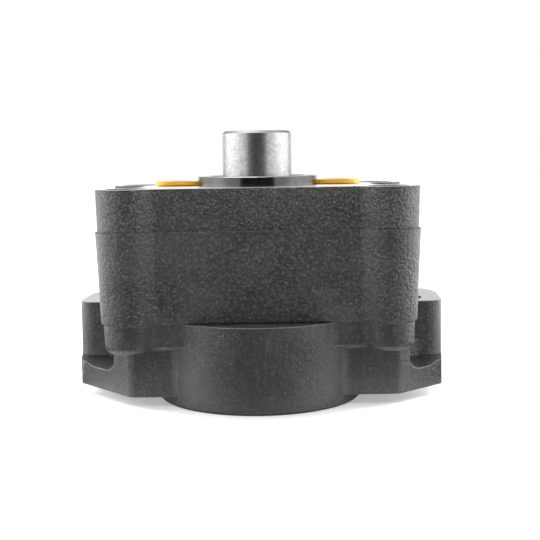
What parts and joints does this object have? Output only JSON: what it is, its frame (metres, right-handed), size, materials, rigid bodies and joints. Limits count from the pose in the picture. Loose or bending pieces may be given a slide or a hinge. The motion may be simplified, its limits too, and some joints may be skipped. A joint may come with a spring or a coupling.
{
  "type": "hydraulic vane pump",
  "caption": "Compact balanced vane pump in lobed cast-iron castings, with a plain ground shaft end, plugged ports beside it and an eared mounting flange on a round barrel.",
  "frame": {"origin": "centre of the barrel's lower face, on which the pump stands", "axes": "+Z along the shaft, out of the pump; +X towards the right-hand ear with the pocketed fronts of both ears facing -Y"},
  "size_m": [0.1342, 0.0752, 0.0958],
  "materials": {
    "cover_casting": "coarse sand casting, dark oxide, machined top",
    "housing_casting": "sand casting, dark oxide",
    "rear_casting": "smooth casting with machined flats, dark oxide",
    "black_screw": "black oxide",
    "ground_steel": "ground",
    "bearing_steel": "polished",
    "cage_brass": "machined",
    "spring_steel": "phosphated",
    "plate_steel": "lapped",
    "seal_rubber": "moulded",
    "plug_plastic": "moulded"
  },
  "bodies": {
    "pump_body": {"front_cover": "cover_casting", "cam_housing": "housing_casting", "rear_cover": "rear_casting", "cover_screws": "black_screw", "bearing_outer_race": "bearing_steel", "bearing_snap_ring": "spring_steel", "shaft_seal": "seal_rubber", "seal_garter_spring": "spring_steel", "front_plate": "plate_steel", "cam_ring": "plate_steel", "pressure_plate": "plate_steel", "plate_spring": "spring_steel", "plate_seal": "seal_rubber", "cartridge_dowels": "bearing_steel", "rear_bearing_cup": "bearing_steel", "front_joint_seal": "seal_rubber", "rear_joint_seal": "seal_rubber", "passage_seals": "seal_rubber"},
    "shaft": {"drive_shaft": "ground_steel", "rotor": "plate_steel", "vanes": "plate_steel", "bearing_inner_race": "bearing_steel", "shaft_snap_ring": "spring_steel"},
    "ball_train": {"bearing_balls": "bearing_steel", "bearing_cage": "cage_brass"},
    "roller_train": {"rear_bearing_rollers": "bearing_steel"},
    "inlet_plug": {"inlet_port_plug": "plug_plastic"},
    "outlet_plug": {"outlet_port_plug": "plug_plastic"}
  },
  "joints": [
    {"name": "shaft_spin", "type": "hinge", "parent": "pump_body", "child": "shaft", "pos_m": [0, 0, 0], "axis": [0, 0, 1], "continuous": true},
    {"name": "ball_orbit", "type": "hinge", "parent": "pump_body", "child": "ball_train", "pos_m": [0, 0, 0], "axis": [0, 0, 1], "continuous": true},
    {"name": "roller_orbit", "type": "hinge", "parent": "pump_body", "child": "roller_train", "pos_m": [0, 0, 0], "axis": [0, 0, 1], "continuous": true},
    {"name": "inlet_plug_pull", "type": "slide", "parent": "pump_body", "child": "inlet_plug", "axis": [0, 0, 1], "range_m": [0, 0.014]},
    {"name": "outlet_plug_pull", "type": "slide", "parent": "pump_body", "child": "outlet_plug", "axis": [0, 0, 1], "range_m": [0, 0.014]}
  ],
  "couplings": [
    {"joint": "ball_orbit", "follows": "shaft_spin", "ratio": 0.4179},
    {"joint": "roller_orbit", "follows": "shaft_spin", "ratio": 0.4469}
  ]
}
